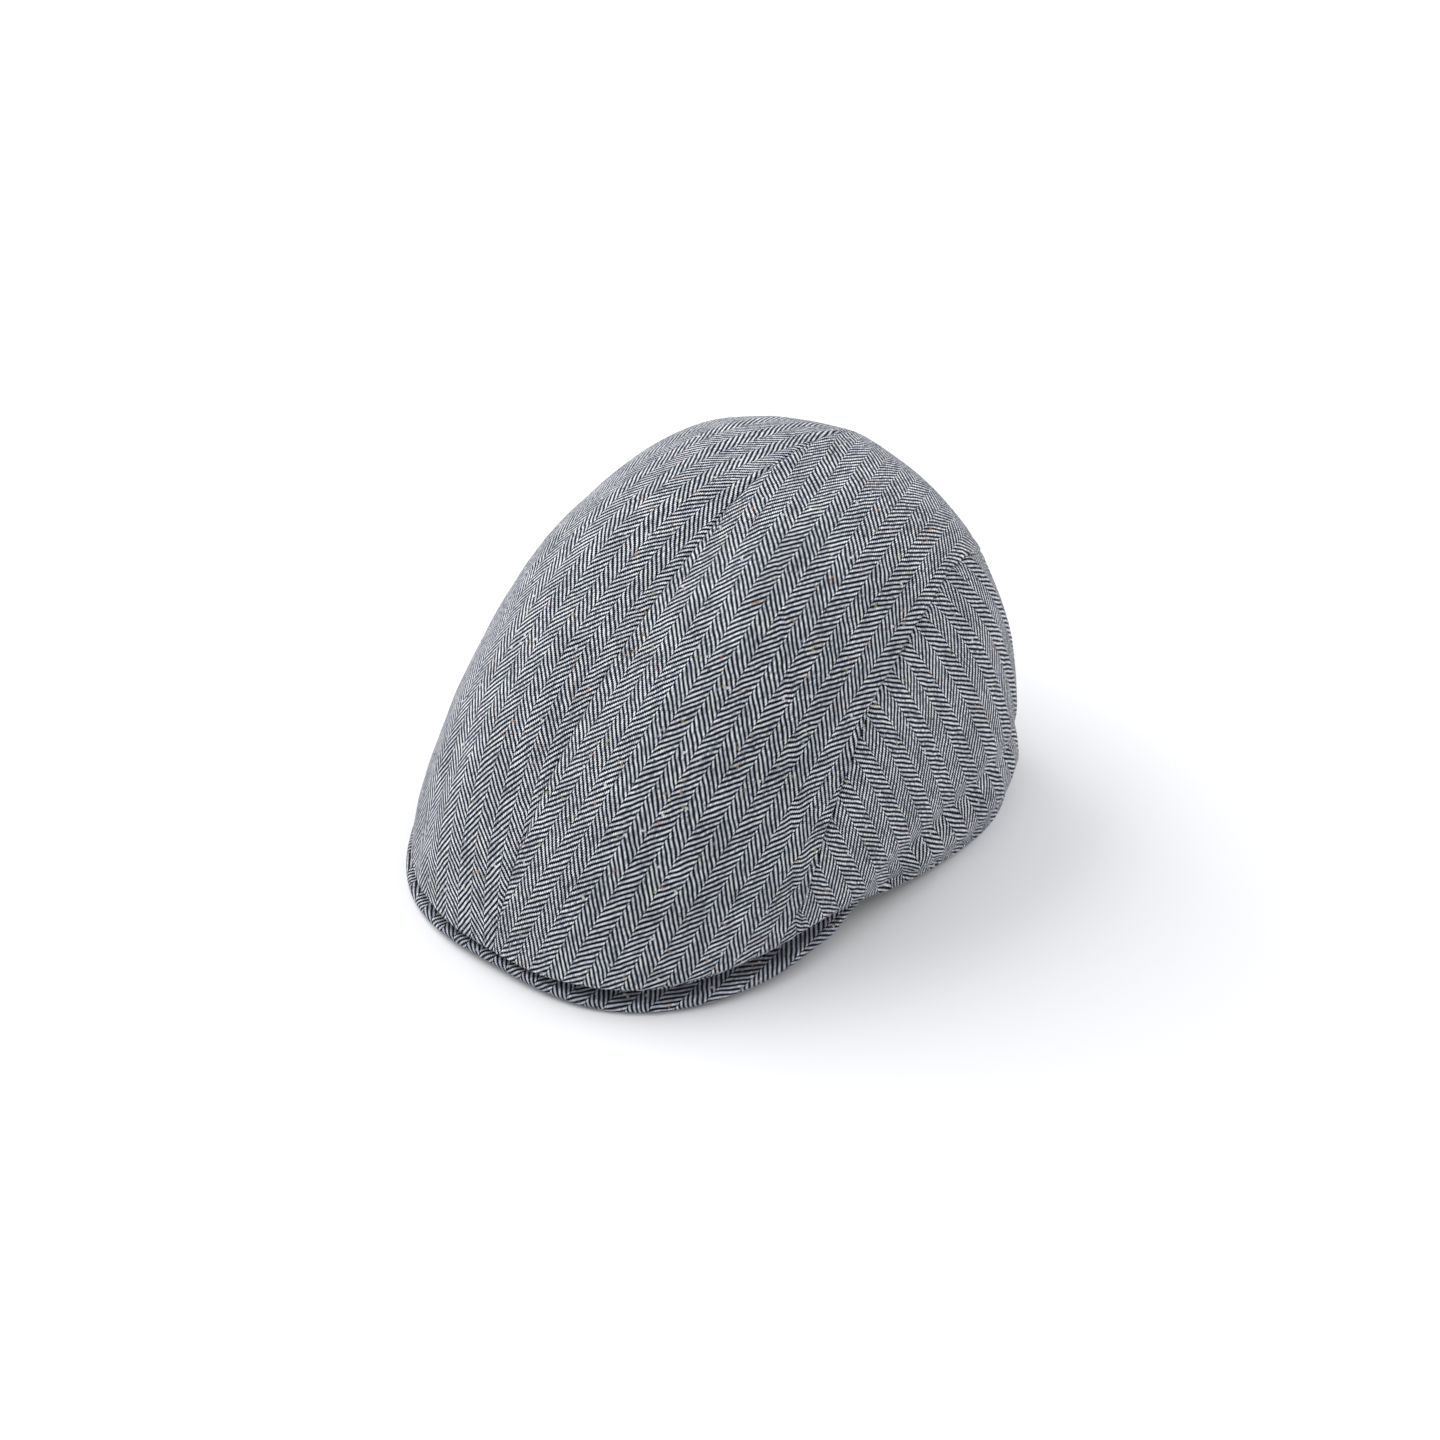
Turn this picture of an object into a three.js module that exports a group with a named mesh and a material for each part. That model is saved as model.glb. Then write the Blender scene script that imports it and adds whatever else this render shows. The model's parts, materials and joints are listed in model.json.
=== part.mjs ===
// Flat cap in herringbone tweed: four crown panels of cloth and a stiff peak covered in the same cloth.
// The front points along -Y, the wearer's left is +X, and the cap stands on z = 0 on its rim and peak.

import * as THREE from 'three';

// Crown sizes in millimetres. The apex is the point that the front and back lengths start from.
const CROWN_WIDTH = 188;
const CROWN_FRONT = 154;
const CROWN_BACK = 82;
const CROWN_HEIGHT = 140;
const FULL_HEIGHT = 40;
const HEM_TUCK = 6;
const CLOTH = 1.6;
const HEM_CLOTH = 2.8;
const SEAM_GAP = 0.3;

// Peak sizes in millimetres. The bow is the height of the peak's ends over its lowest points.
const PEAK_DEPTH = 36;
const PEAK_THICKNESS = 4;
const PEAK_OVERHANG = 3.2;
const PEAK_RISE = 12;
const PEAK_BOW = 10;

// Soft dents and folds of the cloth, in millimetres
const BAND_HEIGHT = 28;
const CREASE_DEPTH = 1.2;
const CREASE_WIDTH = 5;
const DIMPLE_DEPTH = 2.5;
const DIMPLE_RADIUS = 8;
const FOLD_DEPTH = 1.5;
const FOLD_WIDTH = 9;

// Angles in degrees, counted from the front. The side seams start at the front lip at SEAM_TURN.
const SEAM_TURN = 46;
const PEAK_TURN = 60;
const DIMPLE_TURN = 72;

// How square the crown is in plan: 2 is an ellipse and more is fuller at the corners.
const FRONT_CORNER = 2.62;
const BACK_CORNER = 2.95;

// Sections of the crown, by turn from the front. full: height of the fullest line, a share of FULL_HEIGHT.
// tuck: how far the bottom edge lies inside that line, a share of HEM_TUCK. crown and wall: how far the
// profile keeps level at the apex and upright at the fullest line. lean: the wall's slope there in degrees.
const SECTIONS = [
  { turn: 0, full: 0.225, tuck: 0.5, crown: 0.14, wall: 0.66, lean: 76 },
  { turn: 20, full: 0.28, tuck: 0.65, crown: 0.2, wall: 0.68, lean: 78 },
  { turn: 35, full: 0.37, tuck: 0.83, crown: 0.33, wall: 0.72, lean: 80 },
  { turn: 62, full: 0.54, tuck: 0.57, crown: 0.57, wall: 0.7, lean: 88 },
  { turn: 90, full: 0.38, tuck: 0.53, crown: 0.7, wall: 0.71, lean: 89 },
  { turn: 135, full: 0.44, tuck: 0.6, crown: 0.58, wall: 0.86, lean: 90 },
  { turn: 180, full: 1, tuck: 1, crown: 0.48, wall: 1.06, lean: 90 },
];

// Height of the rim behind the peak, a share of the height that it has where the peak ends
const RIM = [
  { turn: 60, lift: 1 },
  { turn: 70, lift: 0.66 },
  { turn: 90, lift: 0.2 },
  { turn: 115, lift: 0 },
  { turn: 180, lift: 0 },
];

// Sections of the peak. bow: height of the outer edge, a share of PEAK_BOW. over: how far it passes the
// lip, a share of PEAK_OVERHANG. depth: lip to inner edge, a share of PEAK_DEPTH. rise: of PEAK_RISE.
// thick: of PEAK_THICKNESS, thinner where the ends are sewn in.
const PEAK_SECTIONS = [
  { turn: 0, bow: 0.2, over: 0.25, depth: 1, rise: 1, thick: 1 },
  { turn: 22, bow: 0, over: 0.72, depth: 0.9, rise: 1, thick: 1 },
  { turn: 40, bow: 0.33, over: 1, depth: 0.57, rise: 0.85, thick: 1 },
  { turn: 52, bow: 0.85, over: 0.4, depth: 0.25, rise: 0.45, thick: 0.9 },
  { turn: 60, bow: 1, over: 0, depth: 0.13, rise: 0.15, thick: 0.65 },
];

// Side seam: how far down the profile it runs, from 0 at the apex to 1 at the fullest line
const SEAM = [
  { turn: 46, down: 0.965 },
  { turn: 49, down: 0.92 },
  { turn: 51, down: 0.88 },
  { turn: 57, down: 0.78 },
  { turn: 62, down: 0.71 },
  { turn: 67, down: 0.655 },
  { turn: 75, down: 0.605 },
  { turn: 90, down: 0.535 },
  { turn: 109, down: 0.505 },
  { turn: 120, down: 0.535 },
  { turn: 133, down: 0.63 },
  { turn: 150, down: 0.72 },
  { turn: 180, down: 0.77 },
];

// Crease over the hidden head band: its height, a share of BAND_HEIGHT, and how deep it is
const CREASE = [
  { turn: 60, height: 0.72, depth: 0 },
  { turn: 72, height: 0.88, depth: 1 },
  { turn: 90, height: 1, depth: 1 },
  { turn: 111, height: 1.15, depth: 0.8 },
  { turn: 180, height: 1.1, depth: 0.7 },
];

// Rows and columns of the nets: before the side seam, beside the peak's ends and behind them
const FRONT_COLUMNS = 9;
const CORNER_COLUMNS = 3;
const BACK_COLUMNS = 18;
const TOP_ROWS = 12;
const SIDE_ROWS = 8;
const HEM_ROWS = 5;
const PEAK_ROWS = 7;

const RADIANS = Math.PI / 180;
const mix = (a, b, t) => a + (b - a) * t;
const steps = (from, to, count) => Array.from({ length: count + 1 }, (_, i) => mix(from, to, i / count));
const hill = (distance) => Math.exp(-distance * distance);

// Reads a table's column at any turn: a smooth curve through the rows, level at each peak and at both ends
function column(table, name) {
  const slope = table.map((row, i) => {
    if (i === 0 || i === table.length - 1) return 0;
    const before = (row[name] - table[i - 1][name]) / (row.turn - table[i - 1].turn);
    const after = (table[i + 1][name] - row[name]) / (table[i + 1].turn - row.turn);
    return before * after <= 0 ? 0 : (2 * before * after) / (before + after);
  });
  return (turn) => {
    const last = table.length - 1;
    const t = Math.min(Math.max(Math.abs(turn), table[0].turn), table[last].turn);
    const i = Math.min(last - 1, table.findLastIndex((row) => row.turn <= t));
    const span = table[i + 1].turn - table[i].turn;
    const u = (t - table[i].turn) / span;
    const start = table[i][name] * (1 + 2 * u) * (1 - u) ** 2 + slope[i] * span * u * (1 - u) ** 2;
    return start + table[i + 1][name] * u * u * (3 - 2 * u) - slope[i + 1] * span * u * u * (1 - u);
  };
}

const fullShare = column(SECTIONS, 'full');
const tuckShare = column(SECTIONS, 'tuck');
const crownShare = column(SECTIONS, 'crown');
const wallShare = column(SECTIONS, 'wall');
const leanAngle = column(SECTIONS, 'lean');
const rimShare = column(RIM, 'lift');
const bowShare = column(PEAK_SECTIONS, 'bow');
const overShare = column(PEAK_SECTIONS, 'over');
const depthShare = column(PEAK_SECTIONS, 'depth');
const riseShare = column(PEAK_SECTIONS, 'rise');
const thickShare = column(PEAK_SECTIONS, 'thick');
const seamDown = column(SEAM, 'down');
const creaseHeight = column(CREASE, 'height');
const creaseDepth = column(CREASE, 'depth');

// Plan radius of the crown's fullest line, from the apex axis
function planRadius(turn) {
  const c = Math.cos(turn * RADIANS);
  const s = Math.sin(turn * RADIANS);
  const power = c > 0 ? FRONT_CORNER : BACK_CORNER;
  const length = c > 0 ? CROWN_FRONT : CROWN_BACK;
  return (Math.abs(c / length) ** power + Math.abs(s / (CROWN_WIDTH / 2)) ** power) ** (-1 / power);
}

// Edges and top of the peak: it is bowed from end to end and rises from its outer edge to its inner one
const peakOuter = (turn) => planRadius(turn) + PEAK_OVERHANG * overShare(turn);
const peakInner = (turn) => planRadius(turn) - PEAK_DEPTH * depthShare(turn);
const peakThickness = (turn) => PEAK_THICKNESS * thickShare(turn);

// Height of the peak's top face, counted from the outer edge inwards
function peakTop(turn, radius) {
  const edge = peakOuter(turn) - peakThickness(turn) / 2;
  const u = (edge - radius) / (edge - peakInner(turn));
  const low = peakThickness(turn) + PEAK_BOW * bowShare(turn);
  return low + PEAK_RISE * riseShare(turn) * (0.6 * u + 0.4 * u * Math.abs(u));
}

// Bottom edge of the crown: in front it is sewn down on the peak, and behind the peak it is the free rim
const rimRadius = (turn) => planRadius(turn) - HEM_TUCK * tuckShare(turn);
const seatHeight = (turn) => peakTop(turn, rimRadius(turn)) + SEAM_GAP * 1.3;

function rimHeight(turn) {
  if (Math.abs(turn) <= PEAK_TURN) return seatHeight(turn);
  return seatHeight(PEAK_TURN) * rimShare(turn);
}

function bezier(a, b, c, d, t) {
  const u = 1 - t;
  return a * u ** 3 + 3 * b * u * u * t + 3 * c * u * t * t + d * t ** 3;
}

// Radius and height of the profile at a turn. down is 0 at the apex, 1 at the fullest line, 2 at the bottom.
function profile(turn, down) {
  const radius = planRadius(turn);
  const full = FULL_HEIGHT * fullShare(turn);
  if (down <= 1) {
    const reach = (CROWN_HEIGHT - full) * wallShare(turn);
    const lean = leanAngle(turn) * RADIANS;
    const r = bezier(0, radius * crownShare(turn), radius - reach * Math.cos(lean), radius, down);
    const z = bezier(CROWN_HEIGHT, CROWN_HEIGHT, full + reach * Math.sin(lean), full, down);
    return [r, z];
  }
  const rim = rimRadius(turn);
  const low = rimHeight(turn);
  const middle = (full + low) / 2;
  return [bezier(radius, radius, rim, rim, down - 1), bezier(full, middle, middle, low, down - 1)];
}

// Places a radius and height at a turn round the apex axis
const polar = (turn, r, z) => new THREE.Vector3(r * Math.sin(turn * RADIANS), -r * Math.cos(turn * RADIANS), z);

// The crown's form before its dents, and the way out of it
const form = (turn, down) => polar(turn, ...profile(turn, down));

function outward(turn, down) {
  const d = Math.min(Math.max(down, 0.02), 1.98);
  const along = form(turn + 0.5, d).sub(form(turn - 0.5, d));
  const across = form(turn, d + 0.01).sub(form(turn, d - 0.01));
  const normal = across.cross(along).normalize();
  return down < 0.02 ? new THREE.Vector3(0, 0, 1) : normal;
}

// Depth of the dents: the crease over the head band, a dimple by the peak's left end and a fold in front
function dent(turn, down, point) {
  if (down < 0.6) return 0;
  const fade = Math.min(1, (2 - down) / 0.2);
  const above = (point.z - BAND_HEIGHT * creaseHeight(turn)) / CREASE_WIDTH;
  const crease = CREASE_DEPTH * creaseDepth(turn) * hill(above);
  const dimple = DIMPLE_DEPTH * hill(point.distanceTo(form(DIMPLE_TURN, 1.47)) / DIMPLE_RADIUS);
  const foldLine = (turn + 20 + 5 * (down - 0.7)) * RADIANS * planRadius(turn);
  const fold = FOLD_DEPTH * hill(foldLine / FOLD_WIDTH) * hill((down - 0.87) / 0.13);
  return (crease + dimple + fold) * fade;
}

// Outer face of the cloth
function outside(turn, down) {
  const point = form(turn, down);
  return point.addScaledVector(outward(turn, down), -dent(turn, down, point));
}

// Inner face of the cloth. The rim's doubled hem is flat below, and in front the cloth lies on the peak.
function inside(turn, down) {
  const point = outside(turn, down);
  if (down <= 1) return point.addScaledVector(outward(turn, down), -CLOTH);
  const free = Math.min(1, Math.max(0, (Math.abs(turn) - SEAM_TURN) / (PEAK_TURN - SEAM_TURN)));
  const across = mix(CLOTH * 0.7, HEM_CLOTH, free);
  const rim = rimRadius(turn);
  const slope = Math.abs(turn) <= PEAK_TURN ? peakTop(turn, rim - across) - peakTop(turn, rim) : 0;
  const end = polar(turn, -across, Math.max(slope, CLOTH * (1 - free)));
  return point.add(outward(turn, 1).multiplyScalar(-CLOTH).lerp(end, down - 1));
}

// Share of the profile that half a seam gap takes at a point on it
function gapShare(turn, down) {
  return (SEAM_GAP / 2) * 0.01 / form(turn, down + 0.005).distanceTo(form(turn, down - 0.005));
}

// Joins two faces of one net into a closed wall. net lists triangles of keys, and each key has two points.
function closedWall(net, outer, inner) {
  const position = [...outer, ...inner].flatMap((p) => [p.x, p.y, p.z]);
  const open = new Map();
  for (const [a, b, c] of net) {
    for (const [from, to] of [[a, b], [b, c], [c, a]]) {
      if (!open.delete(`${to},${from}`)) open.set(`${from},${to}`, [from, to]);
    }
  }
  const shift = outer.length;
  const index = net.flatMap(([a, b, c]) => [a, b, c, a + shift, c + shift, b + shift]);
  for (const [from, to] of open.values()) {
    index.push(from, from + shift, to, to, from + shift, to + shift);
  }
  const geometry = new THREE.BufferGeometry();
  geometry.setAttribute('position', new THREE.Float32BufferAttribute(position, 3));
  geometry.setIndex(index);
  return geometry;
}

// Builds one panel from its columns, each a list of [turn, down] from the top. side is 1 on the +X half.
function panel(columns, side) {
  const outer = [];
  const inner = [];
  const keys = columns.map((cells) => cells.map(([turn, down]) => {
    if (down === 0 && outer.length > 0) return 0;
    outer.push(outside(side * turn, down));
    inner.push(inside(side * turn, down));
    return outer.length - 1;
  }));
  for (const p of [...outer, ...inner]) p.x = side * Math.max(side * p.x, SEAM_GAP / 2);
  const net = [];
  for (let i = 0; i + 1 < keys.length; i += 1) {
    const rows = Math.min(keys[i].length, keys[i + 1].length);
    for (let j = 0; j + 1 < rows; j += 1) {
      const [a, b, c, d] = [keys[i][j], keys[i][j + 1], keys[i + 1][j + 1], keys[i + 1][j]];
      net.push([a, b, c]);
      if (a !== d) net.push([a, c, d]);
    }
  }
  if (side < 0) net.forEach((triangle) => triangle.reverse());
  return closedWall(net, outer, inner);
}

// Turns of the columns, the same for all pieces so that they lie evenly on each other
const frontTurns = steps(0, SEAM_TURN, FRONT_COLUMNS);
const cornerTurns = steps(SEAM_TURN, PEAK_TURN, CORNER_COLUMNS).slice(1);
const backTurns = steps(PEAK_TURN, 180, BACK_COLUMNS).slice(1);
const halfGap = SEAM_GAP / 2 / planRadius(SEAM_TURN) / RADIANS;

// A top panel runs from the apex down to the side seam, and before the seam's start down to the peak
function topPanel(side) {
  const end = (turn) => seamDown(turn) - gapShare(turn, seamDown(turn));
  const rows = (turn) => steps(0, end(turn), TOP_ROWS).map((down) => [turn, down]);
  const hem = (turn) => [1, ...steps(1, 2, HEM_ROWS).slice(1)].map((down) => [turn, down]);
  const front = [...frontTurns.slice(0, -1), SEAM_TURN - halfGap];
  const behind = [...cornerTurns, ...backTurns];
  return panel([...front.map((turn) => [...rows(turn), ...hem(turn)]), ...behind.map(rows)], side);
}

// A side panel runs from the side seam down to the rim, and its front end stands on the peak
function sidePanel(side) {
  const start = (turn) => seamDown(turn) + gapShare(turn, seamDown(turn));
  const rows = (turn) => steps(start(turn), 1, SIDE_ROWS).map((down) => [turn, down]);
  const hem = (turn) => steps(1, 2, HEM_ROWS).slice(1).map((down) => [turn, down]);
  const turns = [SEAM_TURN + halfGap, ...cornerTurns, ...backTurns];
  return panel(turns.map((turn) => [...rows(turn), ...hem(turn)]), side);
}

// Section of the peak at a turn: along the top to the round outer edge and back along the underside
function peakSection(turn) {
  const inner = peakInner(turn);
  const half = peakThickness(turn) / 2;
  const radii = steps(inner, peakOuter(turn) - half, PEAK_ROWS);
  const top = radii.map((r) => polar(turn, r, peakTop(turn, r)));
  const centre = peakTop(turn, peakOuter(turn) - half) - half;
  const edge = steps(90, -90, 4).slice(1, -1).map((angle) => {
    const out = peakOuter(turn) - half + half * Math.cos(angle * RADIANS);
    return polar(turn, out, centre + half * Math.sin(angle * RADIANS));
  });
  const under = radii.toReversed().map((r) => polar(turn, r, peakTop(turn, r) - peakThickness(turn)));
  return [...top, ...edge, ...under];
}

// The peak is lofted through its sections, and a fan of triangles closes each end
function peakBody() {
  const half = [...frontTurns, ...cornerTurns];
  const sections = [...half.slice(1).toReversed().map((turn) => -turn), ...half].map(peakSection);
  const count = sections[0].length;
  const index = [];
  for (let i = 0; i + 1 < sections.length; i += 1) {
    for (let j = 0; j < count; j += 1) {
      const k = (j + 1) % count;
      const [a, b, c, d] = [i * count + j, i * count + k, (i + 1) * count + k, (i + 1) * count + j];
      index.push(a, b, c, a, c, d);
    }
  }
  const last = (sections.length - 1) * count;
  for (let j = 0; 2 * j + 3 <= count; j += 1) {
    const [a, b, c, d] = [j, j + 1, count - 2 - j, count - 1 - j];
    index.push(a, d, b, last + a, last + b, last + d);
    if (b !== c) index.push(b, d, c, last + b, last + c, last + d);
  }
  const geometry = new THREE.BufferGeometry();
  const position = sections.flat().flatMap((p) => [p.x, p.y, p.z]);
  geometry.setAttribute('position', new THREE.Float32BufferAttribute(position, 3));
  geometry.setIndex(index);
  return geometry;
}

// Wool tweed in white and charcoal yarn: each panel is cut from the same cloth and shows its mean colour
function tweed(colour, roughness) {
  return new THREE.MeshStandardMaterial({ color: colour, roughness, metalness: 0 });
}

function piece(name, geometry, material) {
  geometry.computeVertexNormals();
  const mesh = new THREE.Mesh(geometry, material);
  mesh.name = name;
  return mesh;
}

const cap = new THREE.Group();
cap.add(piece('crown_top_left', topPanel(1), tweed(0x83868c, 0.92)));
cap.add(piece('crown_top_right', topPanel(-1), tweed(0x9a9da5, 0.92)));
cap.add(piece('crown_side_left', sidePanel(1), tweed(0x7c7f84, 0.92)));
cap.add(piece('crown_side_right', sidePanel(-1), tweed(0x9a9da5, 0.92)));
cap.add(piece('peak', peakBody(), tweed(0x606570, 0.92)));

// The cap stands on z = 0, with the middle of its length and width over the origin
const box = new THREE.Box3().setFromObject(cap);
cap.position.set(-(box.min.x + box.max.x) / 2, -(box.min.y + box.max.y) / 2, -box.min.z);

export default cap;
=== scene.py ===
# %% [markdown]
# # Herringbone flat cap
# A flat cap is four pieces of wool tweed sewn into a rounded crown, with a short stiff peak under its front.
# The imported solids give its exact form. This lesson keeps that form and adds what the cloth brings: pressed
# seams, soft puckers, the woven pattern that each cut piece carries, stray nubs of coloured wool and a fuzz
# of loose fibres.

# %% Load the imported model
import json
import math
import bpy
import bmesh
import numpy as np
from mathutils import Matrix, Vector

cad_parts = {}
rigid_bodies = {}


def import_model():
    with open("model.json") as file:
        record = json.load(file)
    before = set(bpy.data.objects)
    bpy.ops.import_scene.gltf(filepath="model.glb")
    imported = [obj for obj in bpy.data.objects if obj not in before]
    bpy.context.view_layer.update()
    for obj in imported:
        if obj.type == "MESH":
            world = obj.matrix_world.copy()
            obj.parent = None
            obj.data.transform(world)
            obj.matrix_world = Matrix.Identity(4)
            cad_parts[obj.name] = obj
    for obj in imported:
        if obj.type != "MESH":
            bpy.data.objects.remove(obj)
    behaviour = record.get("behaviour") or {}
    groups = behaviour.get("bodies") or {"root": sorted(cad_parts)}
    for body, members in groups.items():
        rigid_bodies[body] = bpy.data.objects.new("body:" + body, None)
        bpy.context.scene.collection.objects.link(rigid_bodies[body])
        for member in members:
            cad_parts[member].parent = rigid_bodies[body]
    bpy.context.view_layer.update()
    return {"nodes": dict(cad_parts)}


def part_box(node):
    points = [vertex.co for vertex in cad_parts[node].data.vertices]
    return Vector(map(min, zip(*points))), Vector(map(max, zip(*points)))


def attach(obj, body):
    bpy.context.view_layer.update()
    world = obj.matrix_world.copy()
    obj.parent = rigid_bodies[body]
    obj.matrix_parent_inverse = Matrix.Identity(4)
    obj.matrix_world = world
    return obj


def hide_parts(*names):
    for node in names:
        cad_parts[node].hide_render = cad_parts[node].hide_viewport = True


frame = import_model()
print("solids:", sorted(frame["nodes"]))

# %% [markdown]
# ## Camera
# The photo looks down on the cap from its front left, so the camera stands well above the floor. A long lens
# keeps the crown's far side from shrinking. Blender wants the camera's own axes as a matrix: right, up and
# the way back from what it looks at.

# %% Place the camera
AZIMUTH, ELEVATION = math.radians(40.06), math.radians(37.36)
FOCAL_PIXELS, PHOTO_PIXELS, SENSOR = 3967.8, 1440, 36.0
DISTANCE, AIM_HEIGHT = 1.5, 0.05                     # metres
AIM_RIGHT, AIM_UP = 0.00772, -0.0028                 # small shifts that put the cap where the photo has it

back = Vector((math.sin(AZIMUTH) * math.cos(ELEVATION), -math.cos(AZIMUTH) * math.cos(ELEVATION),
               math.sin(ELEVATION)))
right = Vector((math.cos(AZIMUTH), math.sin(AZIMUTH), 0))
up = back.cross(right)
camera = bpy.data.objects.new("camera", bpy.data.cameras.new("camera"))
bpy.context.scene.collection.objects.link(camera)
stand = back * DISTANCE + Vector((0, 0, AIM_HEIGHT)) + right * AIM_RIGHT + up * AIM_UP
camera.matrix_world = Matrix.Translation(stand) @ Matrix((right, up, back)).transposed().to_4x4()
camera.data.sensor_width = SENSOR
camera.data.lens = FOCAL_PIXELS / PHOTO_PIXELS * SENSOR
bpy.context.scene.camera = camera
print("lens:", round(camera.data.lens, 1), "mm")

# %% [markdown]
# ## Colours and nodes
# Hex colours are written as a screen shows them, and shaders calculate in linear light, so one function
# turns the first into the second. A second small function adds any shader node, sets it up and links it.

# %% Colour and node helpers
def linear(hex_colour):
    values = [int(hex_colour[i:i + 2], 16) / 255 for i in (1, 3, 5)]
    return [v / 12.92 if v <= 0.04045 else ((v + 0.055) / 1.055) ** 2.4 for v in values] + [1.0]


def node(tree, kind, inputs=None, **settings):
    made = tree.nodes.new(kind)
    for name, value in settings.items():
        setattr(made, name, value)
    for key, value in (inputs or {}).items():
        if isinstance(value, bpy.types.NodeSocket):
            tree.links.new(value, made.inputs[key])
        else:
            made.inputs[key].default_value = value
    return made


def new_material(name):
    material = bpy.data.materials.new(name)
    material.use_nodes = True
    material.node_tree.nodes.clear()
    return material, material.node_tree


def set_stops(ramp, stops):
    """Gives a colour ramp its stops, each a place from 0 to 1 and a hex colour."""
    elements = ramp.color_ramp.elements
    for place, (position, colour) in enumerate(stops):
        element = elements[place] if place < 2 else elements.new(position)
        element.position, element.color = position, linear(colour)


# %% [markdown]
# ## Herringbone tweed
# Tweed is woven from thick woollen yarn. Here the long yarns are pale and the cross yarns charcoal. Each
# goes over two and under two of the others, one step on in every row, which draws slanting lines. After
# twelve yarns the slant turns back and jumps half a step: that is herringbone. The shader does the same
# sum for every crossing of two yarns, so the lines get their real stepped edge. It reads the cloth's own
# flat pattern, a UV map in metres.

# %% Sum of the weave
LONG_YARN = 0.00056     # real spacing of the long yarns, in metres
CROSS_YARN = 0.00066    # real spacing of the cross yarns: wider, so the slant is a little steeper than 45 degrees
COLUMN_YARNS = 12       # long yarns in one column of the herringbone
REPEAT = 4.0            # over two and under two
WANDER = (0.0009, 0.0012, 0)    # how far a yarn strays from its straight line, in metres


def weave(tree):
    """Adds the nodes of the weave: 1 where the pale yarn lies on top, and each yarn's place and number."""
    def math_node(operation, a, b=None, c=None):
        values = {0: a} if b is None else {0: a, 1: b} if c is None else {0: a, 1: b, 2: c}
        return node(tree, "ShaderNodeMath", values, operation=operation).outputs[0]

    uv = node(tree, "ShaderNodeUVMap", uv_map="Pattern").outputs[0]
    bend = node(tree, "ShaderNodeTexNoise", {"Vector": uv, "Scale": 160.0, "Detail": 1.0})
    shift = node(tree, "ShaderNodeVectorMath", {0: bend.outputs["Color"], 1: (0.5, 0.5, 0.5)}, operation="SUBTRACT")
    moved = node(tree, "ShaderNodeVectorMath", {0: shift.outputs[0], 1: WANDER, 2: uv}, operation="MULTIPLY_ADD")
    parts = node(tree, "ShaderNodeSeparateXYZ", {0: moved.outputs[0]})
    u = math_node("DIVIDE", parts.outputs[0], LONG_YARN)
    v = math_node("DIVIDE", parts.outputs[1], CROSS_YARN)
    long_yarn, cross_yarn = math_node("FLOOR", u), math_node("FLOOR", v)
    column = math_node("FLOOR", math_node("DIVIDE", long_yarn, COLUMN_YARNS))
    odd = math_node("FLOORED_MODULO", column, 2.0)
    within = math_node("FLOORED_MODULO", long_yarn, COLUMN_YARNS)
    mirrored = math_node("SUBTRACT", COLUMN_YARNS + 1.0, within)
    slant = node(tree, "ShaderNodeMix", {0: odd, 2: within, 3: mirrored}).outputs[0]
    step = math_node("FLOORED_MODULO", math_node("ADD", slant, cross_yarn), REPEAT)
    pale = math_node("LESS_THAN", step, 1.5)
    # A pale yarn floats over two dark ones: 0 and 1 are the float's ends, where it dives below the next one
    along = math_node("MULTIPLY", math_node("ADD", step, math_node("FRACT", v)), 0.5)
    return {"uv": uv, "u": u, "v": v, "long": long_yarn, "cross": cross_yarn, "pale": pale, "along": along,
            "math": math_node}


print("column of the herringbone:", round(COLUMN_YARNS * LONG_YARN * 1000, 2), "mm wide")

# %% [markdown]
# ## The finished cloth
# Three things keep the weave from looking printed. Yarn is spun unevenly, so its shade drifts along it.
# Each yarn is round, so it darkens to its sides and stands up in the bump. And wool has a bloom of loose
# fibres that catches light where the cloth turns away from the eye, which is what sheen stands for.

# %% Uneven yarns
def yarn_colours(tree, w, pale_stops, dark_stops):
    """Slubs: long soft changes of shade, drawn out along each pale yarn and across each dark one."""
    m = w["math"]
    pale_at = node(tree, "ShaderNodeCombineXYZ", {0: m("MULTIPLY", w["long"], 7.31), 1: m("MULTIPLY", w["v"], 0.09)})
    dark_at = node(tree, "ShaderNodeCombineXYZ", {
        0: m("MULTIPLY", w["u"], 0.09), 1: m("MULTIPLY", w["cross"], 5.17), 2: 9.0})
    ramps = []
    for place, stops in ((pale_at, pale_stops), (dark_at, dark_stops)):
        noise = node(tree, "ShaderNodeTexNoise", {"Vector": place.outputs[0], "Scale": 1.0, "Detail": 2.0})
        ramps.append(node(tree, "ShaderNodeValToRGB", {0: noise.outputs["Fac"]}))
        set_stops(ramps[-1], stops)
    pale_ramp, dark_ramp = ramps
    return node(tree, "ShaderNodeMix", {"Factor": w["pale"], 6: dark_ramp.outputs[0], 7: pale_ramp.outputs[0]},
                data_type="RGBA").outputs[2]


# %% Round yarns
ROUNDNESS = 3.2         # how far a yarn falls away to its sides
GAP_LIGHT = 0.4         # share of the light that is left in the gap between two yarns
END_RISE = 5.2          # how fast a float comes out of the shadow at its ends
END_LIGHT = 0.25        # share of the light that is left at those ends


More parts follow.
